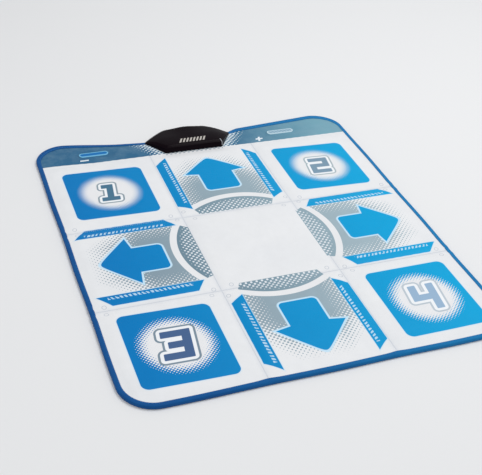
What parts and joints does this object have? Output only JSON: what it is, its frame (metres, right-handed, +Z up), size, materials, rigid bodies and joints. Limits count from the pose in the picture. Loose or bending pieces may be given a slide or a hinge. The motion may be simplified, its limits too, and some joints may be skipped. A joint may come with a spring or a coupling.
{
  "type": "dance mat controller",
  "caption": "Soft foldable dance mat with a ring of step pads around a plain centre, header switches, bound edge and a clamped control box.",
  "frame": {"origin": "centre of the middle cell, on the face that lies on the floor", "axes": "+X to the player's right, +Y from the player towards the control box, +Z up out of the mat"},
  "size_m": [0.82, 0.9208, 0.0281],
  "materials": {
    "anti_slip_base": "matt, dotted with soft grip nubs",
    "contact_film": "clear polyester with printed silver tracks",
    "spacer_foam": "open foam",
    "printed_cover": "soft printed vinyl, satin with a fine grain",
    "pad_print": "soft printed vinyl, satin with a fine grain",
    "edge_binding": "woven binding tape, stitched",
    "printed_contact": "printed carbon",
    "box_plastic": "near-black moulded plastic, satin gloss",
    "circuit_board": "green solder mask",
    "chip_resin": "black potting resin",
    "silicone": "soft, matt",
    "clamp_plastic": "natural moulded plastic",
    "grommet_rubber": "matt black",
    "steel": "zinc-plated"
  },
  "bodies": {
    "middle_row": {"base_middle": "anti_slip_base", "lower_film_middle": "contact_film", "spacer_middle": "spacer_foam", "upper_film_middle": "contact_film", "cover_middle": "printed_cover", "binding_left": "edge_binding", "binding_right": "edge_binding"},
    "near_row": {"base_near": "anti_slip_base", "lower_film_near": "contact_film", "spacer_near": "spacer_foam", "upper_film_near": "contact_film", "cover_near": "printed_cover", "binding_near": "edge_binding"},
    "far_row": {"base_far": "anti_slip_base", "lower_film_far": "contact_film", "spacer_far": "spacer_foam", "upper_film_far": "contact_film", "cover_far": "printed_cover", "binding_far_left": "edge_binding", "binding_far_right": "edge_binding", "upper_shell": "box_plastic", "lower_shell": "box_plastic", "circuit_board": "circuit_board", "chip_blob": "chip_resin", "film_tail": "contact_film", "pressure_strip": "silicone", "clamp_bar": "clamp_plastic", "cord_grommet": "grommet_rubber", "case_screw_1": "steel", "case_screw_2": "steel", "case_screw_3": "steel", "case_screw_4": "steel", "clamp_screw_left": "steel", "clamp_screw_right": "steel"},
    "step_near_left": {"pad_near_left": "pad_print", "contact_near_left": "printed_contact"},
    "step_near": {"pad_near": "pad_print", "contact_near": "printed_contact"},
    "step_near_right": {"pad_near_right": "pad_print", "contact_near_right": "printed_contact"},
    "step_left": {"pad_left": "pad_print", "contact_left": "printed_contact"},
    "step_right": {"pad_right": "pad_print", "contact_right": "printed_contact"},
    "step_far_left": {"pad_far_left": "pad_print", "contact_far_left": "printed_contact"},
    "step_far": {"pad_far": "pad_print", "contact_far": "printed_contact"},
    "step_far_right": {"pad_far_right": "pad_print", "contact_far_right": "printed_contact"},
    "key_minus": {"switch_minus": "pad_print", "contact_minus": "printed_contact"},
    "key_plus": {"switch_plus": "pad_print", "contact_plus": "printed_contact"}
  },
  "joints": [
    {"name": "fold_near", "type": "hinge", "parent": "middle_row", "child": "near_row", "pos_m": [0, -0.135, 0.0104], "axis": [-1, 0, 0], "range_deg": [0, 180]},
    {"name": "fold_far", "type": "hinge", "parent": "middle_row", "child": "far_row", "pos_m": [0, 0.135, 0.0162], "axis": [1, 0, 0], "range_deg": [0, 178]},
    {"name": "press_near_left", "type": "slide", "parent": "near_row", "child": "step_near_left", "axis": [0, 0, -1], "range_m": [0, 0.0023], "stiffness_N_per_m": 6000, "springref_m": -0.0003},
    {"name": "press_near", "type": "slide", "parent": "near_row", "child": "step_near", "axis": [0, 0, -1], "range_m": [0, 0.0023], "stiffness_N_per_m": 6000, "springref_m": -0.0003},
    {"name": "press_near_right", "type": "slide", "parent": "near_row", "child": "step_near_right", "axis": [0, 0, -1], "range_m": [0, 0.0023], "stiffness_N_per_m": 6000, "springref_m": -0.0003},
    {"name": "press_left", "type": "slide", "parent": "middle_row", "child": "step_left", "axis": [0, 0, -1], "range_m": [0, 0.0023], "stiffness_N_per_m": 6000, "springref_m": -0.0003},
    {"name": "press_right", "type": "slide", "parent": "middle_row", "child": "step_right", "axis": [0, 0, -1], "range_m": [0, 0.0023], "stiffness_N_per_m": 6000, "springref_m": -0.0003},
    {"name": "press_far_left", "type": "slide", "parent": "far_row", "child": "step_far_left", "axis": [0, 0, -1], "range_m": [0, 0.0023], "stiffness_N_per_m": 6000, "springref_m": -0.0003},
    {"name": "press_far", "type": "slide", "parent": "far_row", "child": "step_far", "axis": [0, 0, -1], "range_m": [0, 0.0023], "stiffness_N_per_m": 6000, "springref_m": -0.0003},
    {"name": "press_far_right", "type": "slide", "parent": "far_row", "child": "step_far_right", "axis": [0, 0, -1], "range_m": [0, 0.0023], "stiffness_N_per_m": 6000, "springref_m": -0.0003},
    {"name": "press_minus", "type": "slide", "parent": "far_row", "child": "key_minus", "axis": [0, 0, -1], "range_m": [0, 0.0023], "stiffness_N_per_m": 2000, "springref_m": -0.0003},
    {"name": "press_plus", "type": "slide", "parent": "far_row", "child": "key_plus", "axis": [0, 0, -1], "range_m": [0, 0.0023], "stiffness_N_per_m": 2000, "springref_m": -0.0003}
  ]
}
